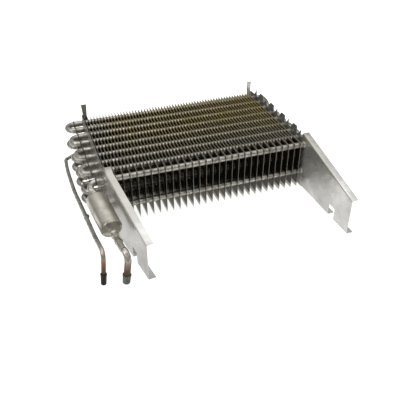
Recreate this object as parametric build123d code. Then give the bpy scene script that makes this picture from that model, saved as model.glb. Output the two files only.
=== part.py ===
from build123d import *

import os
from math import cos, radians, sin, tan

# Evaporator coil: a finned tube block between two end plates, with a suction accumulator and
# two capped connection tubes at its left front. Millimetres, +Z up, +X along the tubes to the
# right, +Y to the back. The pieces are drawn from the axis of the front top tube at the outer
# face of the left end plate, and are moved at the end, so that the origin is the middle of the
# bottom of the whole part.

# Tubes: three staggered rows, numbered from the back to the front
TUBE_DIAMETER = 9.53
TUBE_PITCH = 25.4
ROW_SPACING = 25.0
TUBES_IN_ROW = 9
TUBE_CLEARANCE = 0.1
TOP_REACH = 16.5
LOWER_REACH = 18.5
FEED_REACH = 2.0
SUCTION_REACH = 14.0
RIGHT_REACH = 1.0
BEND_CORNERS = 3
SMALL_BEND_CORNERS = 2
TUBE_SIDES = 16

# Finned block
BLOCK_WIDTH = 334.0
SHEET_THICKNESS = 1.2
FIN_PITCH = 5.55
FIN_THICKNESS = 0.25
FIRST_FIN = 4.1
FIN_FRONT_MARGIN = 6.3
FIN_REAR_MARGIN = 12.8
FIN_TOP_MARGIN = 7.0
FIN_HEIGHT = 84.5

# End plates: a tube sheet beside the fins and a tapered wing in front of it
PLATE_BELOW_FINS = 0.5
PLATE_REAR_MARGIN = 2.0
SHEET_TOP_MARGIN = 2.5
WING_START = 5.0
WING_LENGTH = 156.5
WING_REAR_HEIGHT = 96.5
WING_FRONT_HEIGHT = 60.7
LEFT_WING_TOE_IN = 8.3
TOP_FLANGE_WIDTH = 11.0
FLOOR_FLANGE_WIDTH = 12.0
FLOOR_FLANGE_SETBACK = 15.75
NOTCH_WIDTH = 17.0
NOTCH_HEIGHT = 21.0
NOTCH_FROM_FRONT = 38.0
EAR_WIDTH = 9.3
EAR_STEM_WIDTH = 7.0
EAR_TOP = 29.0
EAR_DEPTH = 34.0
EAR_OFFSET = 1.5

# Toothed top edge of the right tube sheet: in each period a spike with an upright front, and a tab
# whose rear corner is cut off
TOOTH_PERIOD = 44.4
TOOTH_COUNT = 5
FIRST_SPIKE = 13.5
SPIKE_WIDTH = 9.0
TAB_WIDTH = 18.0
TAB_CORNER = 5.5
TAB_FROM_SPIKE = 14.0
TOOTH_HEIGHT = 11.5

# Accumulator canister, hung beside the left wing
CANISTER_RADIUS = 15.9
CANISTER_LENGTH = 63.0
CANISTER_SHOULDER = 4.0
CANISTER_CONE = 7.0
CANISTER_REAR = Vector(-19.7, -20.1, -16.3)
CANISTER_YAW = 8.0
CANISTER_SLOPE = 10.0
INLET_OFFSET = 7.0
SLEEVE_DIAMETER = 11.2
SLEEVE_LENGTH = 9.0
SUCTION_BEND_RADIUS = 10.0
SUCTION_BEND_OUT = 29.0
RISER_OUT = 24.0
RISER_RADIUS = 9.0
RISER_LEAD = 19.0

# Suction tube: corners of its axis, measured from the end of the outlet sleeve
SUCTION_LEAD = 4.0
SUCTION_LEVEL = Vector(2.4, -31.0, 2.5)
SUCTION_DROP = Vector(5.2, -48.0, 4.5)
SUCTION_END = Vector(0.4, -48.0, -41.5)
SUCTION_DROP_RADIUS = 12.0
SUCTION_COPPER_LEAD = 13.0
SUCTION_CAP_DIAMETER = 12.4
SUCTION_CAP_LENGTH = 15.0

# Liquid line: corners of the axis of the feed tube and of the liquid tube
FEED_TUBE_DIAMETER = 6.35
FEED_OUT = Vector(-33.0, 190.5, -57.0)
FEED_TURN = Vector(-42.0, 184.0, -57.5)
FEED_REAR = Vector(-44.0, 140.0, -56.6)
FEED_MIDDLE = Vector(-43.2, 64.0, -51.0)
FEED_FRONT = Vector(-39.0, -24.0, -38.5)
FEED_LEAD = 7.0
FEED_RADIUS = 9.0
LIQUID_TUBE_DIAMETER = 6.35
LIQUID_RISE = Vector(-36.2, -94.0, -27.5)
LIQUID_DROP = Vector(-33.0, -145.0, -17.0)
LIQUID_END = Vector(-38.2, -149.0, -66.0)
LIQUID_DROP_RADIUS = 11.0
LIQUID_COPPER_LEAD = 24.0
LIQUID_CAP_DIAMETER = 9.0
LIQUID_CAP_LENGTH = 18.0
CAP_END_WALL = 1.5
CAP_CLEARANCE = 0.1

# How far a cutting block runs past the sheet that it cuts
CUT_MARGIN = 1.0

# Worked out from the sizes above
TUBE_RADIUS = TUBE_DIAMETER / 2
REAR_TUBE = TUBE_PITCH * (TUBES_IN_ROW - 1)
MIDDLE_ROW = -ROW_SPACING
LOWER_ROW = -2 * ROW_SPACING
LONG_FIN_COUNT = int((BLOCK_WIDTH - FIRST_FIN) / (2 * FIN_PITCH)) + 1
FIN_TOP = FIN_TOP_MARGIN
FIN_REAR = REAR_TUBE + FIN_REAR_MARGIN
FLOOR = FIN_TOP - FIN_HEIGHT - PLATE_BELOW_FINS
PLATE_REAR = FIN_REAR + PLATE_REAR_MARGIN
SHEET_TOP = FIN_TOP + SHEET_TOP_MARGIN


def box(x0, x1, y0, y1, z0, z1):
    """A block between three pairs of coordinates."""
    corner = (Align.MIN, Align.MIN, Align.MIN)
    return Pos(x0, y0, z0) * Box(x1 - x0, y1 - y0, z1 - z0, align=corner)


def sheet(outline, thickness=SHEET_THICKNESS):
    """A flat sheet whose outline is given as (y, z) points and whose thickness runs to +X."""
    face = make_face(Plane.YZ * Polyline(*outline, close=True))
    return extrude(face, amount=thickness, dir=(1, 0, 0))


def tube(points, diameter=TUBE_DIAMETER):
    """A many-sided tube along straight runs that meet in mitred corners."""
    path = Polyline(*points)
    start = Plane(origin=path @ 0, x_dir=(0, 0, 1), z_dir=path % 0)
    section = start * RegularPolygon(diameter / 2, TUBE_SIDES)
    return sweep(section, path=path, transition=Transition.RIGHT)


def round_tube(points, diameter):
    """A truly round tube with mitred corners, for an end that something is fitted to."""
    path = Polyline(*points)
    start = Plane(origin=path @ 0, z_dir=path % 0)
    return sweep(start * Circle(diameter / 2), path=path, transition=Transition.RIGHT)


def bend_points(first, last, outward):
    """Corners of a half-turn from the end of one tube to the end of the next."""
    middle = (first + last) / 2
    across = first - middle
    turn = 180 / BEND_CORNERS
    stretch = 1 / cos(radians(turn / 2))
    points = []
    for index in range(BEND_CORNERS):
        angle = radians(turn * (index + 0.5))
        points.append(middle + (across * cos(angle) + outward * across.length * sin(angle)) * stretch)
    return points


def rounded(before, corner, after, radius, corners):
    """A corner of a route replaced by the corners of a polygon laid round its arc."""
    arrive = (corner - before).normalized()
    leave = (after - corner).normalized()
    turn = arrive.get_angle(leave)
    start = corner - arrive * radius * tan(radians(turn / 2))
    centre = corner + (leave - arrive).normalized() * radius / cos(radians(turn / 2))
    spoke = (start - centre).normalized()
    stretch = radius / cos(radians(turn / corners / 2))
    points = []
    for index in range(corners):
        angle = radians(turn * (index + 0.5) / corners)
        points.append(centre + (spoke * cos(angle) + arrive * sin(angle)) * stretch)
    return points


def top_tube(number):
    """Y and Z of a tube of the top row, numbered from 1 at the back."""
    return REAR_TUBE - TUBE_PITCH * (number - 1), 0.0


def middle_tube(number):
    """Y and Z of a tube of the middle row, half a pitch in front of the top row's."""
    return REAR_TUBE - TUBE_PITCH * (number - 0.5), MIDDLE_ROW


def lower_tube(number):
    """Y and Z of a tube of the bottom row."""
    return REAR_TUBE - TUBE_PITCH * (number - 1), LOWER_ROW


def hairpin(first, second, first_reach, second_reach):
    """Two straight tubes that are one piece with the bend joining them on the right."""
    right = BLOCK_WIDTH + SHEET_THICKNESS + RIGHT_REACH
    start = Vector(right, *first)
    end = Vector(right, *second)
    corners = bend_points(start, end, Vector(1, 0, 0))
    return tube([Vector(-first_reach, *first), *corners, Vector(-second_reach, *second)])


def return_bends(row, first_numbers, reach):
    """The brazed half-turns on the left of one row, a solid for each pair of tubes."""
    bends = []
    for number in first_numbers:
        start = Vector(-reach, *row(number))
        end = Vector(-reach, *row(number + 1))
        corners = bend_points(start, end, Vector(-1, 0, 0))
        bends.append(tube([start, *corners, end]))
    return Compound(bends)


def fin(front, thickness=FIN_THICKNESS):
    """One fin: a thin sheet with a window round the top row and one round the two lower rows."""
    half = TUBE_RADIUS + TUBE_CLEARANCE
    first = min(y for y in (0, TUBE_PITCH) if y - half > front)
    across = thickness + CUT_MARGIN
    panel = box(0, thickness, front, FIN_REAR, FIN_TOP - FIN_HEIGHT, FIN_TOP)
    for top, bottom in ((0, 0), (MIDDLE_ROW, LOWER_ROW)):
        panel -= box(-across, across, first - half, REAR_TUBE + half, bottom - half, top + half)
    return panel


def fins(front, start, count):
    """A row of equal fins on every second place of the fin pitch."""
    panel = fin(front)
    return Compound([Pos(start + index * 2 * FIN_PITCH, 0, 0) * panel for index in range(count)])


def tube_windows():
    """The openings that let the three rows of tubes through a tube sheet, toed wing included."""
    half = TUBE_RADIUS + TUBE_CLEARANCE
    reach = SHEET_THICKNESS + TUBE_DIAMETER
    openings = []
    for top, bottom in ((0, 0), (MIDDLE_ROW, LOWER_ROW)):
        openings.append(box(-reach, reach, -half, REAR_TUBE + half, bottom - half, top + half))
    return openings


def wing():
    """The tapered front of an end plate, with a flange along its top and two along the floor."""
    front = WING_START - WING_LENGTH
    rear_top = FLOOR + WING_REAR_HEIGHT
    front_top = FLOOR + WING_FRONT_HEIGHT
    web = sheet([(WING_START, FLOOR), (WING_START, rear_top), (front, front_top), (front, FLOOR)])
    inside = SHEET_THICKNESS
    flange_outline = [
        (WING_START, rear_top),
        (front, front_top),
        (front, front_top - inside),
        (WING_START, rear_top - inside),
    ]
    top_flange = sheet(flange_outline, TOP_FLANGE_WIDTH)
    floor_flange = box(0, FLOOR_FLANGE_WIDTH, front, WING_START - FLOOR_FLANGE_SETBACK, FLOOR, FLOOR + inside)
    notch_start = front + NOTCH_FROM_FRONT
    notch_end = notch_start + NOTCH_WIDTH
    across = FLOOR_FLANGE_WIDTH + CUT_MARGIN
    notch = box(-CUT_MARGIN, across, notch_start, notch_end, FLOOR - CUT_MARGIN, FLOOR + NOTCH_HEIGHT)
    return web + top_flange + floor_flange - notch


def ear():
    """The narrow tab that stands up behind the fins, bent across from the rear edge of a plate."""
    stem_start = (EAR_WIDTH + 2 * EAR_OFFSET - EAR_STEM_WIDTH) / 2
    outline = [
        (0, SHEET_TOP - EAR_DEPTH),
        (stem_start + EAR_STEM_WIDTH, SHEET_TOP - EAR_DEPTH),
        (stem_start + EAR_STEM_WIDTH, SHEET_TOP),
        (EAR_OFFSET + EAR_WIDTH, EAR_TOP),
        (EAR_OFFSET, EAR_TOP),
        (stem_start, SHEET_TOP),
        (0, SHEET_TOP),
    ]
    face = make_face(Plane.XZ * Polyline(*outline, close=True))
    return Pos(0, PLATE_REAR, 0) * extrude(face, amount=SHEET_THICKNESS, dir=(0, -1, 0))


def left_end_plate():
    """The plate on the connection side: a plain tube sheet, and a wing that is toed in."""
    rear_top = FLOOR + WING_REAR_HEIGHT
    outline = [
        (WING_START, FLOOR),
        (PLATE_REAR, FLOOR),
        (PLATE_REAR, SHEET_TOP),
        (WING_START + TUBE_PITCH, SHEET_TOP),
        (WING_START, rear_top),
    ]
    turned = Pos(0, WING_START, 0) * Rot(0, 0, LEFT_WING_TOE_IN) * Pos(0, -WING_START, 0) * wing()
    plate = sheet(outline) + turned + ear()
    for opening in tube_windows():
        plate -= opening
    return plate


def toothed_edge():
    """Points of the right sheet's top edge from the back to the front: tabs and pointed spikes."""
    points = []
    tooth_top = SHEET_TOP + TOOTH_HEIGHT
    for index in reversed(range(TOOTH_COUNT)):
        spike = FIRST_SPIKE + index * TOOTH_PERIOD
        tab_front = spike + TAB_FROM_SPIKE
        tab_rear = tab_front + TAB_WIDTH
        if tab_rear < PLATE_REAR:
            points += [(tab_rear, SHEET_TOP), (tab_rear, tooth_top - TAB_CORNER)]
            points.append((tab_rear - TAB_CORNER, tooth_top))
        else:
            points.append((PLATE_REAR, tooth_top))
        points += [(tab_front, tooth_top), (tab_front, SHEET_TOP)]
        points += [(spike + SPIKE_WIDTH, SHEET_TOP), (spike, tooth_top), (spike, SHEET_TOP)]
    return points


def right_end_plate():
    """The far plate: a tube sheet with a toothed top edge, and a straight wing."""
    rear_top = FLOOR + WING_REAR_HEIGHT
    outline = [(WING_START, FLOOR), (PLATE_REAR, FLOOR), *toothed_edge(), (WING_START, rear_top)]
    plate = sheet(outline) + wing()
    plate += Pos(SHEET_THICKNESS, 0, 0) * mirror(ear(), about=Plane.YZ)
    for opening in tube_windows():
        plate -= opening
    return Pos(BLOCK_WIDTH, 0, 0) * plate


def canister_plane():
    """The canister's own plane: origin at the middle of its rear face, Z towards the front."""
    yaw = radians(CANISTER_YAW)
    slope = radians(CANISTER_SLOPE)
    axis = Vector(sin(yaw) * cos(slope), -cos(yaw) * cos(slope), -sin(slope))
    side = Vector(cos(yaw), sin(yaw), 0)
    return Plane(origin=CANISTER_REAR, x_dir=side, z_dir=axis)


def in_canister(x, y, z):
    """A point given in the canister's own plane."""
    return canister_plane().from_local_coords(Vector(x, y, z))


def accumulator():
    """The closed canister: a flat rear face with the inlets, and a cone down to the outlet."""
    rear = CANISTER_RADIUS - CANISTER_SHOULDER
    front = CANISTER_SHOULDER + CANISTER_LENGTH
    profile = [
        (0, 0),
        (rear, 0),
        (CANISTER_RADIUS, CANISTER_SHOULDER),
        (CANISTER_RADIUS, front),
        (SLEEVE_DIAMETER / 2, canister_front()),
        (0, canister_front()),
    ]
    face = make_face(Plane.XZ * Polyline(*profile, close=True))
    return canister_plane().location * revolve(face, axis=Axis.Z)


def canister_front():
    """Distance from the canister's rear face to the face that carries the outlet sleeve."""
    return CANISTER_SHOULDER + CANISTER_LENGTH + CANISTER_CONE


def outlet_sleeve():
    """The short socket that joins the canister to the suction tube."""
    flat = (Align.CENTER, Align.CENTER, Align.MIN)
    sleeve = Pos(0, 0, canister_front()) * Cylinder(SLEEVE_DIAMETER / 2, SLEEVE_LENGTH, align=flat)
    return canister_plane().location * sleeve


def cut_at_canister(bend):
    """A suction bend cut off flush with the canister's rear face."""
    side = 2 * CANISTER_RADIUS
    above = (Align.CENTER, Align.CENTER, Align.MIN)
    return bend - canister_plane().location * Box(side, side, side, align=above)


def upper_suction_bend():
    """From the front top tube round and down into the upper inlet of the canister."""
    start = Vector(-SUCTION_REACH, *top_tube(TUBES_IN_ROW))
    corner = start + Vector(SUCTION_REACH - SUCTION_BEND_OUT, 0, 0)
    inlet = in_canister(0, INLET_OFFSET, 0)
    inside = inlet + (inlet - corner).normalized() * TUBE_DIAMETER
    turn = rounded(start, corner, inlet, SUCTION_BEND_RADIUS, BEND_CORNERS)
    return cut_at_canister(tube([start, *turn, inside]))


def lower_suction_bend():
    """From the front bottom tube up behind the canister and into its lower inlet."""
    start = Vector(-SUCTION_REACH, *lower_tube(TUBES_IN_ROW))
    foot = start + Vector(SUCTION_REACH - RISER_OUT, 0, 0)
    head = in_canister(0, -INLET_OFFSET, -RISER_LEAD)
    inside = in_canister(0, -INLET_OFFSET, TUBE_DIAMETER)
    first = rounded(start, foot, head, RISER_RADIUS, SMALL_BEND_CORNERS)
    second = rounded(foot, head, inside, RISER_RADIUS, SMALL_BEND_CORNERS)
    return cut_at_canister(tube([start, *first, *second, inside]))


def suction_points():
    """Corners of the suction tube, from the end of the outlet sleeve to its capped end."""
    start = in_canister(0, 0, canister_front() + SLEEVE_LENGTH)
    straight = in_canister(0, 0, canister_front() + SLEEVE_LENGTH + SUCTION_LEAD)
    level = start + SUCTION_LEVEL
    drop = start + SUCTION_DROP
    joint = drop + (level - drop).normalized() * SUCTION_COPPER_LEAD
    return start, straight, level, joint, drop, start + SUCTION_END


def suction_tube():
    """The aluminium part of the suction tube, from the sleeve to the copper end."""
    start, straight, level, joint, *rest = suction_points()
    return tube([start, straight, level, joint])


def suction_copper_end():
    """The copper end of the suction tube, bent down towards the floor."""
    joint, drop, end = suction_points()[3:]
    turn = rounded(joint, drop, end, SUCTION_DROP_RADIUS, SMALL_BEND_CORNERS)
    return round_tube([joint, *turn, end], TUBE_DIAMETER)


def cap(before, end, bore_diameter, diameter, length):
    """A plastic cap pushed over the end of a tube that arrives from the point before."""
    axis = (before - end).normalized()
    plane = Plane(origin=end - axis * CAP_END_WALL, z_dir=axis)
    flat = (Align.CENTER, Align.CENTER, Align.MIN)
    bore = Pos(0, 0, CAP_END_WALL) * Cylinder(bore_diameter / 2 + CAP_CLEARANCE, length, align=flat)
    return plane.location * (Cylinder(diameter / 2, length, align=flat) - bore)


def suction_cap():
    """The wide cap of the suction tube."""
    *rest, drop, end = suction_points()
    return cap(drop, end, TUBE_DIAMETER, SUCTION_CAP_DIAMETER, SUCTION_CAP_LENGTH)


def feed_bend():
    """The half-turn that joins the two rear tubes of the bottom row, where the coil is fed."""
    start = Vector(-FEED_REACH, *lower_tube(1))
    end = Vector(-FEED_REACH, *lower_tube(2))
    return tube([start, *bend_points(start, end, Vector(-1, 0, 0)), end])


def feed_joint():
    """Where the feed tube meets the liquid tube, on the straight in front of the bend."""
    return FEED_FRONT + (LIQUID_RISE - FEED_FRONT).normalized() * FEED_LEAD


def copper_joint():
    """Where the liquid tube's copper end starts, on the straight before it drops."""
    return LIQUID_DROP + (LIQUID_RISE - LIQUID_DROP).normalized() * LIQUID_COPPER_LEAD


def liquid_feed_tube():
    """The small tube from the crown of the feed bend along the side to the liquid tube."""
    crown = Vector(-FEED_REACH - TUBE_PITCH / 2, REAR_TUBE - TUBE_PITCH / 2, LOWER_ROW)
    turn = rounded(FEED_OUT, FEED_TURN, FEED_REAR, FEED_RADIUS, SMALL_BEND_CORNERS)
    route = [crown, FEED_OUT, *turn, FEED_REAR, FEED_MIDDLE, FEED_FRONT, feed_joint()]
    return tube(route, FEED_TUBE_DIAMETER) - feed_bend()


def liquid_tube():
    """The aluminium tube that goes on from the feed tube and rises beside the canister."""
    return tube([feed_joint(), LIQUID_RISE, copper_joint()], LIQUID_TUBE_DIAMETER)


def liquid_copper_end():
    """The copper end of the liquid tube, bent down towards the floor."""
    turn = rounded(LIQUID_RISE, LIQUID_DROP, LIQUID_END, LIQUID_DROP_RADIUS, SMALL_BEND_CORNERS)
    return round_tube([copper_joint(), *turn, LIQUID_END], LIQUID_TUBE_DIAMETER)


def liquid_cap():
    """The narrow cap of the liquid tube."""
    return cap(LIQUID_DROP, LIQUID_END, LIQUID_TUBE_DIAMETER, LIQUID_CAP_DIAMETER, LIQUID_CAP_LENGTH)


def hairpins():
    """The thirteen hairpins by name: eight between the upper rows, one at the back, four below."""
    pieces = {}
    for number in range(2, TUBES_IN_ROW + 1):
        top_reach = SUCTION_REACH if number == TUBES_IN_ROW else TOP_REACH
        piece = hairpin(top_tube(number), middle_tube(number - 1), top_reach, LOWER_REACH)
        pieces[f"upper_hairpin_{number - 1}"] = piece
    pieces["rear_hairpin"] = hairpin(top_tube(1), lower_tube(1), TOP_REACH, FEED_REACH)
    for index in range((TUBES_IN_ROW - 1) // 2):
        first = 2 * index + 2
        first_reach = LOWER_REACH if index else FEED_REACH
        last_reach = SUCTION_REACH if first + 1 == TUBES_IN_ROW else LOWER_REACH
        piece = hairpin(lower_tube(first), lower_tube(first + 1), first_reach, last_reach)
        pieces[f"lower_hairpin_{index + 1}"] = piece
    return pieces


def write(pieces):
    """Move all pieces so that the origin is the middle of the bottom, and write them."""
    os.makedirs("parts", exist_ok=True)
    bounds = Compound(list(pieces.values())).bounding_box()
    shift = Pos(-bounds.center().X, -bounds.center().Y, -bounds.min.Z)
    print("moved by", shift.position)
    for name, piece in pieces.items():
        export_step(shift * piece, f"parts/{name}.step")


pairs = range(1, TUBES_IN_ROW, 2)
write(
    {
        "left_end_plate": left_end_plate(),
        "right_end_plate": right_end_plate(),
        "long_fins": fins(-FIN_FRONT_MARGIN, FIRST_FIN, LONG_FIN_COUNT),
        "short_fins": fins(TUBE_PITCH - FIN_FRONT_MARGIN, FIRST_FIN + FIN_PITCH, LONG_FIN_COUNT - 1),
        **hairpins(),
        "top_return_bends": return_bends(top_tube, pairs, TOP_REACH),
        "middle_return_bends": return_bends(middle_tube, pairs, LOWER_REACH),
        "lower_return_bends": return_bends(lower_tube, list(pairs)[1:], LOWER_REACH),
        "feed_bend": feed_bend(),
        "upper_suction_bend": upper_suction_bend(),
        "lower_suction_bend": lower_suction_bend(),
        "accumulator": accumulator(),
        "outlet_sleeve": outlet_sleeve(),
        "suction_tube": suction_tube(),
        "suction_copper_end": suction_copper_end(),
        "suction_cap": suction_cap(),
        "liquid_feed_tube": liquid_feed_tube(),
        "liquid_tube": liquid_tube(),
        "liquid_copper_end": liquid_copper_end(),
        "liquid_cap": liquid_cap(),
    }
)
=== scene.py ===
from math import cos, pi, radians, sin, tan

import bmesh
import bpy
from mathutils import Matrix, Vector


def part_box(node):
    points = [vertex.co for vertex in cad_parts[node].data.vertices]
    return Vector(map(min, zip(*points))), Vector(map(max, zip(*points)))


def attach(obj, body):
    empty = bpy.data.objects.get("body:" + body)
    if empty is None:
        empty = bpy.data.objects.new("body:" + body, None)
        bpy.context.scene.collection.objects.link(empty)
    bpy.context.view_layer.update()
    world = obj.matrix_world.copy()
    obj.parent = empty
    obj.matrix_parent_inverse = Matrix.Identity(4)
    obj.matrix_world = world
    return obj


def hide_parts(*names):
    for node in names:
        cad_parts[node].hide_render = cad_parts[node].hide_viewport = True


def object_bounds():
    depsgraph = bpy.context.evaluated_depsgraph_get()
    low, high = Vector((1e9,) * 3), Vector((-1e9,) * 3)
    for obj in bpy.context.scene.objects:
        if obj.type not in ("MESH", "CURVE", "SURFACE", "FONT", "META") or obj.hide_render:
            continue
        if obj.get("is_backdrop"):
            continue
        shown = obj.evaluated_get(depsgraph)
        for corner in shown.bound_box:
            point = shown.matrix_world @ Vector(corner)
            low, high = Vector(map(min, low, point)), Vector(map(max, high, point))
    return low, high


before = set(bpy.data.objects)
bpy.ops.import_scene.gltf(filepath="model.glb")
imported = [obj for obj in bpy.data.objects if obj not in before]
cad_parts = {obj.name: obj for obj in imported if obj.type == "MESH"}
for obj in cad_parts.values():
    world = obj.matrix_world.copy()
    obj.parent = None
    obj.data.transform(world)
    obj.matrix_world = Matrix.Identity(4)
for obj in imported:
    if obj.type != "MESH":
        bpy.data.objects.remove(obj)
cad_low, cad_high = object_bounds()


# Left end plate: aluminium sheet on the connection side, punched flat with a drawn collar round each
# tube hole and then folded. Its wing in front of the fins is toed in and carries a top flange and two
# floor flanges, and a narrow ear stands up at the back.
TUBE_RADIUS = 0.004765
SHEET = 0.0012
FOLD_RADIUS = 0.0018
FOLD_STEPS = 5
HOLE_SIDES = 32
SMOOTH_BELOW = radians(35)
NO_DISTANCE = 1e-7
RIGHT = Vector((1, 0, 0))
BACK = Vector((0, 1, 0))
UP = Vector((0, 0, 1))

plate_low, plate_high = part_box("left_end_plate")
far_low, far_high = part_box("right_end_plate")
rear_low, rear_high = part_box("rear_hairpin")
front_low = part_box("upper_hairpin_8")[0]

TOP_Z = rear_high.z - TUBE_RADIUS
MIDDLE_Z = front_low.z + TUBE_RADIUS
LOWER_Z = rear_low.z + TUBE_RADIUS
REAR_Y = (rear_low.y + rear_high.y) / 2
FRONT_Y = front_low.y + TUBE_RADIUS
TUBE_PITCH = (REAR_Y - FRONT_Y) / 8

top_row = [(REAR_Y - TUBE_PITCH * place, TOP_Z) for place in range(9)]
middle_row = [(REAR_Y - TUBE_PITCH * (place + 0.5), MIDDLE_Z) for place in range(8)]
lower_row = [(REAR_Y - TUBE_PITCH * place, LOWER_Z) for place in range(9)]
tube_places = top_row + middle_row + lower_row

CLEAR = 0.00001
FLOOR_Z = plate_low.z + CLEAR
REAR_EDGE = far_high.y - CLEAR
SHEET_TOP = TOP_Z + 0.0095
EAR_TOP = plate_high.z
EAR_DEPTH = 0.034
EAR_STEM = (0.00265, 0.00965)
EAR_HEAD = (0.0015, 0.0108)
WING_REAR = FRONT_Y + 0.005
WING_FRONT = far_low.y
WING_REAR_TOP = FLOOR_Z + 0.0965
WING_FRONT_TOP = FLOOR_Z + 0.0607
TOP_FLANGE = 0.011
FLOOR_FLANGE = 0.012
FLANGE_REAR = WING_REAR - 0.01575
NOTCH = (WING_FRONT + 0.038, WING_FRONT + 0.055)
NOTCH_TOP = FLOOR_Z + 0.021
RELIEF = 0.0015
TOP_FOLD_REAR = WING_REAR + 4 * SHEET
TOE_FOLD = FRONT_Y - 0.0085
TOE_RADIUS = 0.012
TOE_IN = radians(9.0)
COLLAR = ((0.0010, -0.0002), (0.0006, -0.0008), (0.0005, -0.0022))
COLLAR_ROOT = 0.0016


def supply(tree, made, inputs):
    """Gives each named input of a node its value, or a link from a socket."""
    for name, value in inputs.items():
        if isinstance(value, bpy.types.NodeSocket):
            tree.links.new(value, made.inputs[name])
        else:
            made.inputs[name].default_value = value


def node(tree, kind, inputs=None, **settings):
    """A new node with its settings and its named inputs."""
    made = tree.nodes.new(kind)
    for name, value in settings.items():
        setattr(made, name, value)
    supply(tree, made, inputs or {})
    return made


def sockets(tree, inputs, outputs):
    """Names the inputs and outputs of a node group, and returns its inner ends."""
    for name, (kind, value) in inputs.items():
        socket = tree.interface.new_socket(name, in_out="INPUT", socket_type=kind)
        if value is not None:
            socket.default_value = value
    for name, kind in outputs.items():
        tree.interface.new_socket(name, in_out="OUTPUT", socket_type=kind)
    return tree.nodes.new("NodeGroupInput").outputs, tree.nodes.new("NodeGroupOutput").inputs


def placed(name, data):
    """A new object in the scene, made of that data."""
    made = bpy.data.objects.new(name, data)
    bpy.context.scene.collection.objects.link(made)
    return made


def piece_from(shape, name, material, matrix=None):
    """A finished piece from a bmesh, moved by a matrix if there is one: smooth, with its sharp creases."""
    if matrix:
        bmesh.ops.transform(shape, matrix=matrix, verts=shape.verts)
    for edge in shape.edges:
        edge.smooth = len(edge.link_faces) == 2 and edge.calc_face_angle(pi) < SMOOTH_BELOW
    for face in shape.faces:
        face.smooth = True
    mesh = bpy.data.meshes.new(name)
    shape.to_mesh(mesh)
    shape.free()
    mesh.materials.append(material)
    return placed(name, mesh)


def shape_from(made):
    """The mesh of a piece as a bmesh, in place of the piece itself."""
    shape = bmesh.new()
    shape.from_mesh(made.data)
    bpy.data.objects.remove(made)
    return shape


def baked(made):
    """The same piece with its modifiers turned into plain mesh."""
    shapes = bpy.context.evaluated_depsgraph_get()
    mesh = bpy.data.meshes.new_from_object(made.evaluated_get(shapes), depsgraph=shapes)
    name = made.name
    bpy.data.objects.remove(made)
    mesh.name = name
    return placed(name, mesh)


def fitted(made, slot, *nodes):
    """Gives a finished piece its body and hides the CAD nodes that it stands for; the slot is not used."""
    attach(made, "root")
    if nodes:
        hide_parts(*nodes)


def punched_blank(outline, holes, sides, root, collar, x):
    """A flat sheet at x with a round hole for each (y, z), its rim drawn out into a collar."""
    blank = bmesh.new()
    loops = [[blank.verts.new((x, y, z)) for y, z in outline]]
    turns = [2 * pi * step / sides for step in range(sides)]
    for y, z in holes:
        reach = TUBE_RADIUS + root
        ring = [blank.verts.new((x, y + reach * cos(turn), z + reach * sin(turn))) for turn in turns]
        loops.append(ring)
    edges = []
    for loop in loops:
        edges += [blank.edges.new((loop[place - 1], loop[place])) for place in range(len(loop))]
    bmesh.ops.triangle_fill(blank, use_beauty=True, edges=edges, normal=(-1, 0, 0))
    for (y, z), ring in zip(holes, loops[1:]):
        for wider, rise in collar:
            reach = TUBE_RADIUS + wider
            points = [(x + rise, y + reach * cos(turn), z + reach * sin(turn)) for turn in turns]
            following = [blank.verts.new(point) for point in points]
            for place in range(sides):
                blank.faces.new((ring[place - 1], ring[place], following[place], following[place - 1]))
            ring = following
    bmesh.ops.recalc_face_normals(blank, faces=blank.faces)
    return blank


def fold(blank, point, along, outward, side, angle, radius, chosen):
    """Folds what lies outward of a line through point, for the vertices that chosen lets through."""
    for step in range(FOLD_STEPS + 1):
        plane = point + outward * radius * angle * step / FOLD_STEPS
        everything = blank.verts[:] + blank.edges[:] + blank.faces[:]
        bmesh.ops.bisect_plane(blank, geom=everything, plane_co=plane, plane_no=outward,
                               dist=NO_DISTANCE)
    for vert in blank.verts:
        offset = vert.co - point
        beyond = offset.dot(outward)
        if beyond <= NO_DISTANCE or not chosen(vert.co):
            continue
        height = offset.dot(side)
        turn = min(beyond / radius, angle)
        left = beyond - radius * turn
        onward = outward * cos(turn) + side * sin(turn)
        upright = side * cos(turn) - outward * sin(turn)
        centre = point + along * offset.dot(along) + side * radius
        vert.co = centre - upright * (radius - height) + onward * left


def flange_length(width):
    """How far a flange of that outer width reaches past its fold line in the flat blank."""
    return FOLD_RADIUS * pi / 2 + width - SHEET / 2 - FOLD_RADIUS


def thickened(blank, name, material, thickness):
    """The blank as a closed sheet of even thickness."""
    made = piece_from(blank, name, material)
    solid = made.modifiers.new("thickness", "SOLIDIFY")
    solid.thickness = thickness
    solid.offset = 0
    solid.use_even_offset = True
    shape = shape_from(baked(made))
    bmesh.ops.recalc_face_normals(shape, faces=shape.faces)
    return piece_from(shape, name, material)


FOLD_BACK = SHEET / 2 + FOLD_RADIUS
wing_slope = Vector((0, WING_FRONT - WING_REAR, WING_FRONT_TOP - WING_REAR_TOP)).normalized()
wing_upward = Vector((0, wing_slope.z, -wing_slope.y))


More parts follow.
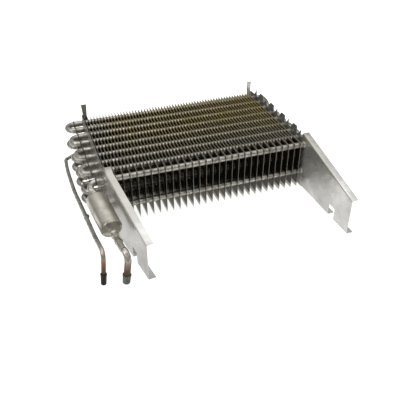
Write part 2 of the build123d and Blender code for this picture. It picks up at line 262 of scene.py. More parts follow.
def wing_outline():
    """The blank's edge along the wing: over the top flange, down the front and back by the floor."""
    lift = wing_upward * (flange_length(TOP_FLANGE) - FOLD_BACK)
    drop = FLOOR_Z + FOLD_BACK - flange_length(FLOOR_FLANGE)
    slot_top = FLOOR_Z + FOLD_BACK + RELIEF
    return [
        (WING_REAR, WING_REAR_TOP),
        (WING_REAR + lift.y, WING_REAR_TOP + lift.z),
        (WING_FRONT + lift.y, WING_FRONT_TOP + lift.z),
        (WING_FRONT, WING_FRONT_TOP),
        (WING_FRONT, drop),
        (NOTCH[0], drop),
        (NOTCH[0], NOTCH_TOP),
        (NOTCH[1], NOTCH_TOP),
        (NOTCH[1], drop),
        (FLANGE_REAR, drop),
        (FLANGE_REAR, slot_top),
        (FLANGE_REAR + RELIEF, slot_top),
        (FLANGE_REAR + RELIEF, FLOOR_Z),
        (REAR_EDGE, FLOOR_Z),
    ]


def ear_outline():
    """The blank's edge at the back: a relief slot, and the ear laid flat behind the fold."""
    bottom = SHEET_TOP - EAR_DEPTH
    start = REAR_EDGE - FOLD_BACK

    def flat(across):
        return start + flange_length(across)

    return [
        (REAR_EDGE, bottom - RELIEF),
        (start - RELIEF, bottom - RELIEF),
        (start - RELIEF, bottom),
        (flat(EAR_STEM[1]), bottom),
        (flat(EAR_STEM[1]), SHEET_TOP),
        (flat(EAR_HEAD[1]), EAR_TOP),
        (flat(EAR_HEAD[0]), EAR_TOP),
        (flat(EAR_STEM[0]), SHEET_TOP),
        (REAR_EDGE, SHEET_TOP),
    ]


def fold_plate(blank, ear_side):
    """The folds that both plates have: top flange, floor flanges and ear."""
    x = blank.verts[:][0].co.x
    crease = Vector((x, WING_REAR, WING_REAR_TOP)) - wing_upward * FOLD_BACK
    fold(blank, crease, wing_slope, wing_upward, RIGHT, pi / 2, FOLD_RADIUS,
         lambda place: place.y < TOP_FOLD_REAR)
    crease = Vector((x, WING_REAR, FLOOR_Z + FOLD_BACK))
    fold(blank, crease, BACK, -UP, RIGHT, pi / 2, FOLD_RADIUS,
         lambda place: place.y < FLANGE_REAR + RELIEF / 2)
    crease = Vector((x, REAR_EDGE - FOLD_BACK, SHEET_TOP))
    fold(blank, crease, UP, BACK, ear_side, pi / 2, FOLD_RADIUS,
         lambda place: place.z > SHEET_TOP - EAR_DEPTH - RELIEF / 2)


def between(tree, value, start, end, blend="LINEAR"):
    """A mask that is 0 where the value is at start and 1 where it is at end."""
    given = {"Value": value, "From Min": start, "From Max": end}
    return node(tree, "ShaderNodeMapRange", given, interpolation_type=blend).outputs["Result"]


def combined(tree, first, second, operation="MULTIPLY"):
    """Two values multiplied, or combined in another way."""
    return node(tree, "ShaderNodeMath", {0: first, 1: second}, operation=operation).outputs["Value"]


def axes(tree, place):
    """The coordinates of a place, by the names X, Y and Z."""
    return node(tree, "ShaderNodeSeparateXYZ", {"Vector": place}).outputs


def patches_group():
    """Shader group: soft uneven patches, as a mask from 0 to 1."""
    tree = bpy.data.node_groups.new("soft_patches", "ShaderNodeTree")
    given, result = sockets(tree, {
        "Vector": ("NodeSocketVector", None),
        "Size": ("NodeSocketFloat", 40.0),
        "Low": ("NodeSocketFloat", 0.4),
        "High": ("NodeSocketFloat", 0.6),
    }, {"Mask": "NodeSocketFloat"})
    noise = node(tree, "ShaderNodeTexNoise", {
        "Vector": given["Vector"], "Scale": given["Size"], "Detail": 4.0, "Roughness": 0.55})
    tree.links.new(between(tree, noise.outputs["Fac"], given["Low"], given["High"]), result["Mask"])
    return tree


def grain_group():
    """Shader group: fine lines along the way that the metal was rolled, drawn or spun."""
    tree = bpy.data.node_groups.new("metal_grain", "ShaderNodeTree")
    given, result = sockets(tree, {
        "Vector": ("NodeSocketVector", None),
        "Lines": ("NodeSocketVector", (900.0, 12.0, 900.0)),
    }, {"Grain": "NodeSocketFloat"})
    stretched = node(tree, "ShaderNodeVectorMath", {0: given["Vector"], 1: given["Lines"]},
                     operation="MULTIPLY")
    noise = node(tree, "ShaderNodeTexNoise", {
        "Vector": stretched.outputs["Vector"], "Scale": 1.0, "Detail": 3.0, "Roughness": 0.6})
    tree.links.new(noise.outputs["Fac"], result["Grain"])
    return tree


soft_patches = patches_group()
metal_grain = grain_group()


def new_material(name):
    """An empty material: its tree, its shader and the object coordinates."""
    material = bpy.data.materials.new(name)
    material.use_nodes = True
    tree = material.node_tree
    tree.nodes.clear()
    shader = node(tree, "ShaderNodeBsdfPrincipled")
    node(tree, "ShaderNodeOutputMaterial", {"Surface": shader.outputs["BSDF"]})
    place = node(tree, "ShaderNodeTexCoord").outputs["Object"]
    return material, tree, shader, place


def patches(tree, place, size, low, high):
    """The soft patches group placed in a material."""
    given = {"Vector": place, "Size": size, "Low": low, "High": high}
    return node(tree, "ShaderNodeGroup", given, node_tree=soft_patches).outputs["Mask"]


def grain(tree, place, lines):
    """The grain group placed in a material."""
    given = {"Vector": place, "Lines": lines}
    return node(tree, "ShaderNodeGroup", given, node_tree=metal_grain).outputs["Grain"]


def mixed(tree, mask, first, second):
    """A colour between two, by a mask."""
    made = node(tree, "ShaderNodeMix", {0: mask}, data_type="RGBA")
    for place, colour in ((6, first), (7, second)):
        supply(tree, made, {place: (*colour, 1) if isinstance(colour, tuple) else colour})
    return made.outputs[2]


def ranged(tree, value, low, high):
    """A value from 0 to 1 spread between two others."""
    return node(tree, "ShaderNodeMapRange", {"Value": value, "To Min": low, "To Max": high}).outputs["Result"]


LINE_DEPTH = 0.0002


def relief(tree, shader, height, strength, depth=LINE_DEPTH, under=None):
    """Low relief on the whole surface, over a coarser one where there is one."""
    bump = node(tree, "ShaderNodeBump", {"Height": height, "Strength": strength, "Distance": depth})
    if under:
        tree.links.new(under, bump.inputs["Normal"])
    tree.links.new(bump.outputs["Normal"], shader.inputs["Normal"])


PLATE_BRIGHT = (0.90, 0.895, 0.87)
PLATE_DULL = (0.58, 0.57, 0.54)
# Painted shade on the upper and rear part of the wing.
PLATE_PAINTED_SHADE = (0.57, 0.555, 0.50)
# Painted shade where fins and tubes stand.
PLATE_WEB_SHADE = (0.30, 0.29, 0.26)
# Painted shade on the left plate's ear.
EAR_PAINTED_SHADE = (0.40, 0.39, 0.35)
# Where the painted shade on the web begins, just behind the front tubes.
WEB_SHADE_FROM = FRONT_Y - 0.006
WEB_SHADE_TO = FRONT_Y + 0.010
# Where the wing passes from the painted floor reflection, low and in front, to painted shade higher up and
# further back.
FLOOR_SHEEN_BELOW = FLOOR_Z + 0.02
WING_SHADE_ABOVE = FLOOR_Z + 0.07
FLOOR_SHEEN_BEFORE = WING_FRONT + 0.005
WING_SHADE_BEHIND = WING_FRONT + 0.11
EAR_FROM = REAR_EDGE - 0.003
EAR_TO = REAR_EDGE - 0.002
DENT_DEPTH = 0.004


def plate_material(name, ear_painted_tone):
    """Rolled sheet: cloudy, lit by a painted floor reflection low on the wing, darker with painted shade
    above, and grey with painted shade where fins and tubes stand.
    """
    material, tree, shader, place = new_material(name)
    stain = patches(tree, place, 17.0, 0.36, 0.66)
    split = axes(tree, place)
    # Painted shade: the sheet turns dark grey behind the front tubes, where fins and tubes stand.
    web_shade = between(tree, split["Y"], WEB_SHADE_FROM, WEB_SHADE_TO)
    # Painted floor reflection low on the wing and at its front, painted shade above and behind.
    high = between(tree, split["Z"], FLOOR_SHEEN_BELOW, WING_SHADE_ABOVE)
    wing_shade = combined(tree, high, between(tree, split["Y"], FLOOR_SHEEN_BEFORE, WING_SHADE_BEHIND))
    wing = mixed(tree, wing_shade, mixed(tree, stain, PLATE_BRIGHT, PLATE_DULL), PLATE_PAINTED_SHADE)
    web = mixed(tree, web_shade, wing, PLATE_WEB_SHADE)
    supply(tree, shader, {
        # The ear gets its own painted tone: painted shade on the left plate, painted light on the right.
        "Base Color": mixed(tree, between(tree, split["Y"], EAR_FROM, EAR_TO), web, ear_painted_tone),
        "Roughness": ranged(tree, stain, 0.22, 0.36),
        "Metallic": ranged(tree, web_shade, 0.70, 0.55),
    })
    dents = patches(tree, place, 13.0, 0.2, 0.8)
    waves = node(tree, "ShaderNodeBump", {"Height": dents, "Strength": 0.5, "Distance": DENT_DEPTH})
    line = grain(tree, place, (900.0, 9.0, 900.0))
    relief(tree, shader, line, 0.08, under=waves.outputs["Normal"])
    return material


plate_metal = plate_material("left_sheet", EAR_PAINTED_SHADE)

blank = punched_blank(
    [*wing_outline(), *ear_outline(), (WING_REAR + TUBE_PITCH, SHEET_TOP)],
    tube_places, HOLE_SIDES, COLLAR_ROOT, COLLAR, plate_low.x + SHEET / 2)
fold_plate(blank, RIGHT)
fold(blank, Vector((plate_low.x + SHEET / 2, TOE_FOLD, 0)), UP, -BACK, RIGHT, TOE_IN, TOE_RADIUS,
     lambda place: True)
left_plate = thickened(blank, "left_plate", plate_metal, SHEET)
fitted(left_plate, "plate_sheet", "left_end_plate")


# Right end plate: the same sheet for the far side, with its flanges turned outwards. Clearance notches in
# its top edge leave tabs with one corner cut off, and a pointed spike between each two.
TOOTH_PITCH = 0.0444
TOOTH_COUNT = 5
FIRST_SPIKE = FRONT_Y + 0.0135
TOOTH_TOP = TOP_Z + 0.021
TAB_FROM_SPIKE = 0.014
TAB_WIDTH = 0.018
TAB_CORNER = 0.0055
TAB_ROUND = 0.0008
SLOT_RADIUS = 0.0018
FLANK_POWER = 1.5
ARC_STEPS = 6
# Painted light on the right plate's ear.
EAR_PAINTED_LIGHT = (0.95, 0.945, 0.93)


def edge_arc(y, z, radius, start, end):
    """Points of a rounded corner in the plate's edge, about (y, z), between two angles in degrees."""
    turns = [radians(start + (end - start) * step / ARC_STEPS) for step in range(ARC_STEPS + 1)]
    return [(y + radius * cos(turn), z + radius * sin(turn)) for turn in turns]


def toothed_outline():
    """The top edge from the back to the wing: spikes, with a slot, a tab and a notch behind each but one."""
    points = []
    for index in reversed(range(TOOTH_COUNT)):
        spike = FIRST_SPIKE + index * TOOTH_PITCH
        tab_front = spike + TAB_FROM_SPIKE
        tab_rear = tab_front + TAB_WIDTH
        if index < TOOTH_COUNT - 1:
            radius = (spike + TOOTH_PITCH - tab_rear) / 2
            points += edge_arc(tab_rear + radius, SHEET_TOP + radius, radius, 0, -180)
            points += [(tab_rear, TOOTH_TOP - TAB_CORNER), (tab_rear - TAB_CORNER, TOOTH_TOP)]
            points += edge_arc(tab_front + TAB_ROUND, TOOTH_TOP - TAB_ROUND, TAB_ROUND, 90, 180)
            points += edge_arc(tab_front - SLOT_RADIUS, SHEET_TOP + SLOT_RADIUS, SLOT_RADIUS, 0, -90)
        flank = tab_front - 2 * SLOT_RADIUS - spike
        for step in range(ARC_STEPS + 1):
            rise = step / ARC_STEPS
            across = spike + flank * (1 - rise)
            points.append((across, SHEET_TOP + (TOOTH_TOP - SHEET_TOP) * rise ** FLANK_POWER))
    radius = (FIRST_SPIKE - WING_REAR - SHEET) / 2
    points += edge_arc(FIRST_SPIKE - radius, SHEET_TOP + radius, radius, 0, -180)
    return points


blank = punched_blank(
    [*wing_outline(), *ear_outline(), *toothed_outline()],
    tube_places, HOLE_SIDES, COLLAR_ROOT, COLLAR, far_high.x - FLOOR_FLANGE + SHEET / 2)
fold_plate(blank, -RIGHT)
plate_metal = plate_material("right_sheet", EAR_PAINTED_LIGHT)
right_plate = thickened(blank, "right_plate", plate_metal, SHEET)
fitted(right_plate, "plate_sheet", "right_end_plate")


# Fins: thin aluminium sheets pressed on the tubes, each long one followed by a short one that stops
# behind the front tubes. Every hole is drawn into a collar that grips the tube and spaces the fins.
FIN_SHEET = 0.00025
FIN_SIDES = 16
FIN_ROOT = 0.0011
FIN_COLLAR = ((0.0004, -0.0004), (0.00025, -0.0018))
FIN_COUNTS = {"long_fins": 30, "short_fins": 29}
FIN_WAVE = 0.0008
# Fin faces: the coat's colours darkened as painted shade between the fins. The rim colours are the same coat
# as a painted highlight.
FIN_SHADED_OLIVE = (0.10, 0.078, 0.022)
FIN_SHADED_GREY = (0.085, 0.076, 0.056)
FIN_LIT_RIM_OLIVE = (0.56, 0.445, 0.17)
FIN_LIT_RIM_GREY = (0.44, 0.405, 0.315)
# Painted light from the bright floor on the fins' bottom tips.
FIN_TIP_FLOOR_LIGHT = (0.92, 0.91, 0.82)
# Widths of the painted highlight along the top and along the front and rear edges.
TOP_LIT_RIM = 0.0036
EDGE_LIT_RIM = 0.0020
# How far up the tips the painted floor light reaches, and where it is full.
TIP_LENGTH = 0.0075
TIP_FULL_LIGHT = 0.0045
WAVE_SIZE = 28.0
OLIVE_FROM = plate_low.x + 0.010
OLIVE_TO = plate_low.x + 0.055


def edge_mask(tree, value, inner, rim):
    """0 at the inner place and 1 at the rim, along one coordinate, with soft ends."""
    return between(tree, value, inner, rim, "SMOOTHSTEP")


def fin_material(name, low, high):
    """Thin sheet with a yellowed coat: its faces darkened with painted shade, a painted highlight along the
    rim of a fin of that box, and painted floor light on its bottom tips.
    """
    material, tree, shader, place = new_material(name)
    split = axes(tree, place)
    backward = edge_mask(tree, split["Y"], FRONT_Y + TUBE_PITCH / 2, REAR_Y - 2 * TUBE_PITCH)
    stain = patches(tree, place, 30.0, 0.30, 0.70)
    yellow = combined(tree, backward, ranged(tree, stain, 1.0, 0.6))
    yellow = combined(tree, yellow, edge_mask(tree, split["X"], OLIVE_FROM, OLIVE_TO))
    # Painted highlight along the top and the front and rear edges of each fin.
    rim = edge_mask(tree, split["Z"], high.z - TOP_LIT_RIM, high.z)
    for inner, outer in ((low.y + EDGE_LIT_RIM, low.y), (high.y - EDGE_LIT_RIM, high.y)):
        rim = combined(tree, rim, edge_mask(tree, split["Y"], inner, outer), "MAXIMUM")
    # Painted floor light on the bottom tips.
    tip = edge_mask(tree, split["Z"], low.z + TIP_LENGTH, low.z + TIP_FULL_LIGHT)
    # The painted light of the rims and the tips, which also makes them rougher and less metallic.
    painted_light = combined(tree, rim, tip, "MAXIMUM")
    face = mixed(tree, yellow, FIN_SHADED_GREY, FIN_SHADED_OLIVE)
    lit_rim = mixed(tree, yellow, FIN_LIT_RIM_GREY, FIN_LIT_RIM_OLIVE)
    supply(tree, shader, {
        "Base Color": mixed(tree, tip, mixed(tree, rim, face, lit_rim), FIN_TIP_FLOOR_LIGHT),
        "Roughness": ranged(tree, painted_light, 0.36, 0.58),
        "Metallic": ranged(tree, painted_light, 0.9, 0.2),
    })
    relief(tree, shader, grain(tree, place, (200.0, 30.0, 900.0)), 0.1)
    return material


def geometry_tree(name, inputs):
    """A geometry tree from the geometry it is given to the material it sets, with named inputs."""
    tree = bpy.data.node_groups.new(name, "GeometryNodeTree")
    named = {"Geometry": ("NodeSocketGeometry", None), **inputs, "Material": ("NodeSocketMaterial", None)}
    given, result = sockets(tree, named, {"Geometry": "NodeSocketGeometry"})
    return tree, given, result


def dressed(tree, whole, given, result):
    """The end of a geometry tree: the material is set on all that it has made."""
    covered = node(tree, "GeometryNodeSetMaterial", {"Geometry": whole, "Material": given["Material"]})
    tree.links.new(covered.outputs["Geometry"], result["Geometry"])
    return tree


def stack_tree():
    """Geometry nodes: one fin repeated at an even pitch, each a little wavy in its own way."""
    tree, given, result = geometry_tree("fin_stack", {
        "Count": ("NodeSocketInt", 30),
        "Pitch": ("NodeSocketFloat", 0.0111),
        "Wave": ("NodeSocketFloat", FIN_WAVE),
        "Seed": ("NodeSocketFloat", 1.0),
    })
    step = node(tree, "ShaderNodeCombineXYZ", {"X": given["Pitch"]})
    line = node(tree, "GeometryNodeMeshLine", {"Count": given["Count"], "Offset": step.outputs["Vector"]})
    copies = node(tree, "GeometryNodeInstanceOnPoints", {
        "Points": line.outputs["Mesh"], "Instance": given["Geometry"]})
    whole = node(tree, "GeometryNodeRealizeInstances", {"Geometry": copies.outputs["Instances"]})
    place = node(tree, "GeometryNodeInputPosition")
    noise = node(tree, "ShaderNodeTexNoise", {
        "Vector": place.outputs["Position"], "W": given["Seed"], "Scale": WAVE_SIZE, "Detail": 1.0
    }, noise_dimensions="4D")
    middle = combined(tree, noise.outputs["Fac"], 0.5, "SUBTRACT")
    offset = node(tree, "ShaderNodeCombineXYZ", {"X": combined(tree, middle, given["Wave"])})
    moved = node(tree, "GeometryNodeSetPosition", {
        "Geometry": whole.outputs["Geometry"], "Offset": offset.outputs["Vector"]})
    return dressed(tree, moved.outputs["Geometry"], given, result)


def run_tree(made, tree, values):
    """Puts a geometry tree on a piece with its named inputs set, and bakes it."""
    modifier = made.modifiers.new(tree.name, "NODES")
    modifier.node_group = tree
    for item in tree.interface.items_tree:
        if item.item_type == "SOCKET" and item.in_out == "INPUT" and item.name in values:
            modifier[item.identifier] = values[item.name]
    return baked(made)


fin_stack = stack_tree()
for seed, (cad_node, count) in enumerate(FIN_COUNTS.items()):
    low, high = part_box(cad_node)
    fin_metal = fin_material(cad_node.replace("fins", "fin_sheet"), low, high)
    holes = [(y, z) for y, z in tube_places if y - TUBE_RADIUS > low.y]
    corners = [(low.y, low.z), (high.y, low.z), (high.y, high.z), (low.y, high.z)]
    fin = punched_blank(corners, holes, FIN_SIDES, FIN_ROOT, FIN_COLLAR, low.x + FIN_SHEET / 2)
    fin = thickened(fin, cad_node.replace("fins", "fin_stack"), fin_metal, FIN_SHEET)
    stack = run_tree(fin, fin_stack, {
        "Count": count,
        "Pitch": (high.x - low.x - FIN_SHEET) / (count - 1),
        "Wave": FIN_WAVE,
        "Seed": 1.0 + seed,
        "Material": fin_metal,
    })
    fitted(stack, "fin_sheet", cad_node)


# Hairpins: drawn aluminium tubes, each bent to a half-turn on the right and pushed through both plates
# and all fins. Their left ends are belled a little to take the return bends.
TUBE_SIDES = 24
ARC_STEP = radians(7.5)
NEARLY_STRAIGHT = 0.01
SEAM_DISTANCE = 1e-6
PLATE_X = plate_low.x
BELL_LENGTH = 0.0085
BELL_LIP = 0.0008
BELL_TAPER = 0.0016
BELL_WIDE = 1 + 0.0005 / TUBE_RADIUS
BELL_LIP_WIDE = 1 + 0.00075 / TUBE_RADIUS
TUBE_BRIGHT = (0.60, 0.58, 0.53)
TUBE_DULL = (0.25, 0.235, 0.20)
# Painted shade on the tubes where they run deep in the fins, behind the front tubes and below the top.
TUBE_DEEP_SHADE = (0.085, 0.078, 0.062)
DEEP_SHADE_FROM = Vector((PLATE_X, FRONT_Y + 0.004, TOP_Z - 0.003))
DEEP_SHADE_TO = Vector((PLATE_X + 0.002, FRONT_Y + 0.009, TOP_Z - 0.012))


def tube_material():
    """Drawn aluminium tube: mottled and a little crinkled, and darkened with painted shade where it runs deep
    in the fins.
    """
    material, tree, shader, place = new_material("drawn_tube")
    stain = patches(tree, place, 190.0, 0.36, 0.66)
    split = axes(tree, place)
    # Painted shade: dark deep in the fin block, behind the front tubes and below the top.
    inside, back, deep = [edge_mask(tree, split[way], outer, inner)
                          for way, outer, inner in zip("XYZ", DEEP_SHADE_FROM, DEEP_SHADE_TO)]
    inside = combined(tree, combined(tree, inside, back), deep)
    supply(tree, shader, {
        "Base Color": mixed(tree, inside, mixed(tree, stain, TUBE_BRIGHT, TUBE_DULL), TUBE_DEEP_SHADE),
        "Roughness": ranged(tree, stain, 0.27, 0.46),
        "Metallic": 1.0,
    })
    relief(tree, shader, grain(tree, place, (560.0, 700.0, 700.0)), 0.38)
    return material


tube_metal = tube_material()


def drawn_tube_tree():
    """Geometry nodes: a round tube along a curve, as wide as the curve says, closed at its ends."""
    tree, given, result = geometry_tree("round_tube", {
        "Radius": ("NodeSocketFloat", TUBE_RADIUS),
        "Sides": ("NodeSocketInt", TUBE_SIDES),
    })
    circle = node(tree, "GeometryNodeCurvePrimitiveCircle", {
        "Resolution": given["Sides"], "Radius": given["Radius"]})
    width = node(tree, "GeometryNodeInputRadius")
    swept = node(tree, "GeometryNodeCurveToMesh", {
        "Curve": given["Geometry"], "Profile Curve": circle.outputs["Curve"],
        "Scale": width.outputs["Radius"], "Fill Caps": True})
    return dressed(tree, swept.outputs["Mesh"], given, result)


round_tube = drawn_tube_tree()


def bent(points, radii):
    """A route of straight runs, with an arc of the given radius laid in at each inner corner."""
    route = [points[0]]
    for before, corner, after, radius in zip(points, points[1:], points[2:], radii):
        arrive = (corner - before).normalized()
        leave = (after - corner).normalized()
        turn = arrive.angle(leave)
        if turn < NEARLY_STRAIGHT:
            route.append(corner)
            continue
        start = corner - arrive * radius * tan(turn / 2)
        centre = corner + (leave - arrive).normalized() * radius / cos(turn / 2)
        spoke = (start - centre).normalized()
        steps = max(2, round(turn / ARC_STEP))
        for step in range(steps + 1):
            angle = turn * step / steps
            route.append(centre + (spoke * cos(angle) + arrive * sin(angle)) * radius)
    route.append(points[-1])
    return route


def fit_tube(name, cad_node, routes, radius=TUBE_RADIUS, material=tube_metal, slot="tube_metal"):
    """A piece of round tube for a CAD node. Each route is a list of points, or of (point, width) pairs."""
    curve = bpy.data.curves.new(name, "CURVE")
    curve.dimensions = "3D"
    for route in routes:
        spline = curve.splines.new("POLY")
        spline.points.add(len(route) - 1)
        for place, stop in zip(spline.points, route):
            point, width = stop if isinstance(stop, tuple) else (stop, 1.0)
            place.co = (*point, 1)
            place.radius = width
    made = placed(name, curve)
    values = {"Radius": radius, "Sides": TUBE_SIDES, "Material": material}
    shape = shape_from(run_tree(made, round_tube, values))
    bmesh.ops.remove_doubles(shape, verts=shape.verts, dist=SEAM_DISTANCE)
    bmesh.ops.recalc_face_normals(shape, faces=shape.faces)
    fitted(piece_from(shape, name, material), slot, cad_node)


def half_turn(first, second, outward):
    """Points of the half circle from the end of one tube to the end of the next."""
    middle = (first + second) / 2
    across = first - middle
    steps = round(pi / ARC_STEP)
    turns = [pi * step / steps for step in range(steps + 1)]
    return [middle + across * cos(turn) + outward * across.length * sin(turn) for turn in turns]


def left_leg(place, end_x):
    """The left end of a hairpin's leg, from its open end inwards: a belled mouth, except at the feed."""
    if end_x == feed_end:
        return [Vector((end_x, *place))]
    stops = ((0.0, BELL_LIP_WIDE), (BELL_LIP, BELL_WIDE), (BELL_LENGTH, BELL_WIDE),
             (BELL_LENGTH + BELL_TAPER, 1.0))
    return [(Vector((end_x + along, *place)), width) for along, width in stops]


def right_turn(name, first, second):
    """The half-turn on the right between two tube places, as far out as the CAD node reaches."""
    spread = (Vector((0, *first)) - Vector((0, *second))).length
    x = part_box(name)[1].x - TUBE_RADIUS - spread / 2
    return half_turn(Vector((x, *first)), Vector((x, *second)), RIGHT)


top_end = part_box("top_return_bends")[1].x
lower_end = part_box("lower_return_bends")[1].x
feed_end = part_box("feed_bend")[1].x
suction_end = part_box("upper_suction_bend")[1].x

hairpin_legs = {f"upper_hairpin_{place}": (top_row[place], top_end, middle_row[place - 1], lower_end)
                for place in range(1, 8)}
hairpin_legs["upper_hairpin_8"] = (top_row[8], suction_end, middle_row[7], lower_end)
hairpin_legs["rear_hairpin"] = (top_row[0], top_end, lower_row[0], feed_end)
lower_ends = [feed_end, *[lower_end] * 6, suction_end]
for place in (1, 3, 5, 7):
    hairpin_legs[f"lower_hairpin_{(place + 1) // 2}"] = (
        lower_row[place], lower_ends[place - 1], lower_row[place + 1], lower_ends[place])

for cad_node, (first, first_end, second, second_end) in hairpin_legs.items():
    finish = reversed(left_leg(second, second_end))
    route = [*left_leg(first, first_end), *right_turn(cad_node, first, second), *finish]
    fit_tube(cad_node + "_tube", cad_node, [route])


# Return bends: short half-turns of the same tube that join the hairpins in pairs on the left. Each leg
# enters a belled mouth and is brazed there, which leaves a dark bead of filler round it.
BEAD_SIDES = 24
BEAD_PROFILE = ((0.0, -0.0015), (0.0008, -0.0011), (0.0013, -0.0002), (0.0011, 0.0006), (0.0003, 0.0010))
BEAD_SUNK = 0.0003
FULL_TURN = 6.283
BRAZE_COLOUR = (0.20, 0.18, 0.15)
BRAZE_DARK = (0.075, 0.068, 0.055)
BURNT_DEPTH = 0.0003
IN_MOUTH = RIGHT * 0.002


def braze_material():
    """Brazing filler with burnt flux: dull and dark, with lighter metal showing through."""
    material, tree, shader, place = new_material("braze_filler")
    burnt = patches(tree, place, 320.0, 0.42, 0.62)
    supply(tree, shader, {
        "Base Color": mixed(tree, burnt, BRAZE_COLOUR, BRAZE_DARK),
        "Roughness": ranged(tree, burnt, 0.4, 0.8),
        "Metallic": ranged(tree, burnt, 0.9, 0.3),
    })
    relief(tree, shader, burnt, 0.3, BURNT_DEPTH)
    return material


def bead_tree():
    """Geometry nodes: a ring of filler at each joint, turned a little differently at each."""
    tree, given, result = geometry_tree("braze_beads", {
        "Bead": ("NodeSocketObject", None),
        "Seed": ("NodeSocketInt", 4),
    })
    bead = node(tree, "GeometryNodeObjectInfo", {"Object": given["Bead"], "As Instance": True})
    turn = node(tree, "FunctionNodeRandomValue", {
        0: (0.0, 0.0, 0.0), 1: (FULL_TURN, 0.0, 0.0), "Seed": given["Seed"]
    }, data_type="FLOAT_VECTOR")
    copies = node(tree, "GeometryNodeInstanceOnPoints", {
        "Points": given["Geometry"], "Instance": bead.outputs["Geometry"], "Rotation": turn.outputs[0]})
    whole = node(tree, "GeometryNodeRealizeInstances", {"Geometry": copies.outputs["Instances"]})
    return dressed(tree, whole.outputs["Geometry"], given, result)


def turned(profile, sides):
    """A closed shape turned about the X axis from (radius, x) points, the first and last included."""
    shape = bmesh.new()
    turns = [2 * pi * step / sides for step in range(sides)]
    rings = []
    for radius, x in profile:
        if radius == 0:
            rings.append([shape.verts.new((x, 0, 0))])
        else:
            rings.append([shape.verts.new((x, radius * cos(turn), radius * sin(turn))) for turn in turns])
    for ring, following in zip(rings, rings[1:]):
        for place in range(sides):
            if len(ring) == 1:
                shape.faces.new((ring[0], following[place - 1], following[place]))
            elif len(following) == 1:
                shape.faces.new((ring[place - 1], ring[place], following[0]))
            else:
                shape.faces.new((ring[place - 1], ring[place], following[place], following[place - 1]))
    bmesh.ops.recalc_face_normals(shape, faces=shape.faces)
    return shape


def ring_shape(inner, profile):
    """A closed ring about the X axis: profile gives (height above inner, x), its ends on the bore."""
    sunk = inner - BEAD_SUNK
    closed = [(sunk, profile[0][1]), *((inner + height, x) for height, x in profile)]
    closed += [(sunk, profile[-1][1]), (sunk, profile[0][1])]
    shape = turned(closed, BEAD_SIDES)
    bmesh.ops.remove_doubles(shape, verts=shape.verts, dist=NO_DISTANCE)
    bmesh.ops.recalc_face_normals(shape, faces=shape.faces)
    return shape


braze_metal = braze_material()
return_pairs = {
    "top_return_bends": (top_row, range(0, 8, 2), top_end),
    "middle_return_bends": (middle_row, range(0, 8, 2), lower_end),
    "lower_return_bends": (lower_row, range(2, 8, 2), lower_end),
}
joint_places = []
for cad_node, (row, firsts, end) in return_pairs.items():
    routes = []
    for place in firsts:
        first = Vector((end, *row[place]))
        second = Vector((end, *row[place + 1]))
        routes.append([first + IN_MOUTH, *half_turn(first, second, -RIGHT), second + IN_MOUTH])
        joint_places += [first, second]
    fit_tube(cad_node + "_tubes", cad_node, routes)

front_ends = [Vector((suction_end, *row[8])) for row in (top_row, lower_row)]
joint_places += front_ends
bead = piece_from(ring_shape(TUBE_RADIUS, BEAD_PROFILE), "bead", braze_metal)
points = bpy.data.meshes.new("return_bend_beads")
points.from_pydata(joint_places, [], [])
beads = placed("return_bend_beads", points)
beads = run_tree(beads, bead_tree(), {"Bead": bead, "Seed": 4, "Material": braze_metal})
bpy.data.objects.remove(bead)
fitted(beads, "tube_metal")


# Feed bend: the half-turn between the two rear bottom tubes, where the thin feed tube enters its crown.
# It is the same tube, set closer to the plate than the other bends.
arc = half_turn(Vector((feed_end, *lower_row[0])), Vector((feed_end, *lower_row[1])), -RIGHT)
fit_tube("feed_bend_tube", "feed_bend", [arc])


# Accumulator: a spun aluminium canister beside the left wing. Its rear shoulder is rounded round a flat
# face with the two inlets, and its front is drawn down in a cone to the outlet.
CANISTER_RADIUS = 0.0159
CANISTER_FRONT = 0.067
CANISTER_END = 0.074
CANISTER_REAR_MM = (-19.7, -20.1, -16.3)
CANISTER_YAW = radians(8)
CANISTER_SLOPE = radians(10)
CANISTER_SIDES = 64
CORNER_ROUND = 0.0045
FRONT_CORNER = CANISTER_FRONT - 0.002
CONE_START = radians(62)
NECK_RADIUS = 0.0058
NECK_PROFILE = ((NECK_RADIUS + 0.0022, CANISTER_END - 0.0008), (NECK_RADIUS + 0.0006, CANISTER_END))
ARC_POINTS = 8
CANISTER_BRIGHT = (0.70, 0.67, 0.595)
CANISTER_DULL = (0.48, 0.455, 0.39)
# Painted shade on the front cone, in blotches.
CONE_SHADE = (0.44, 0.41, 0.345)
CONE_SHADE_DARK = (0.20, 0.185, 0.15)
CONE_SHADE_BEFORE = 0.003
CONE_SHADE_BEHIND = 0.002


def at(x, y, z):
    """A place in millimetres from the axis of the front top tube at the plate's outer face."""
    return Vector((PLATE_X + x / 1000, FRONT_Y + y / 1000, TOP_Z + z / 1000))


def canister_place():
    """The canister's own place: X runs along its axis from the rear face to the outlet."""
    level = cos(CANISTER_SLOPE)
    axis = Vector((sin(CANISTER_YAW) * level, -cos(CANISTER_YAW) * level, -sin(CANISTER_SLOPE)))
    side = Vector((cos(CANISTER_YAW), sin(CANISTER_YAW), 0))
    turn = Matrix((axis, side, axis.cross(side))).transposed()
    return Matrix.Translation(at(*CANISTER_REAR_MM)) @ turn.to_4x4()


def round_corner(radius, x, size, start, end):
    """Profile points (radius, x) of a rounded corner about (radius, x), between two angles."""
    turns = [start + (end - start) * step / ARC_POINTS for step in range(ARC_POINTS + 1)]
    return [(radius + size * cos(turn), x + size * sin(turn)) for turn in turns]


canister_frame = canister_place()


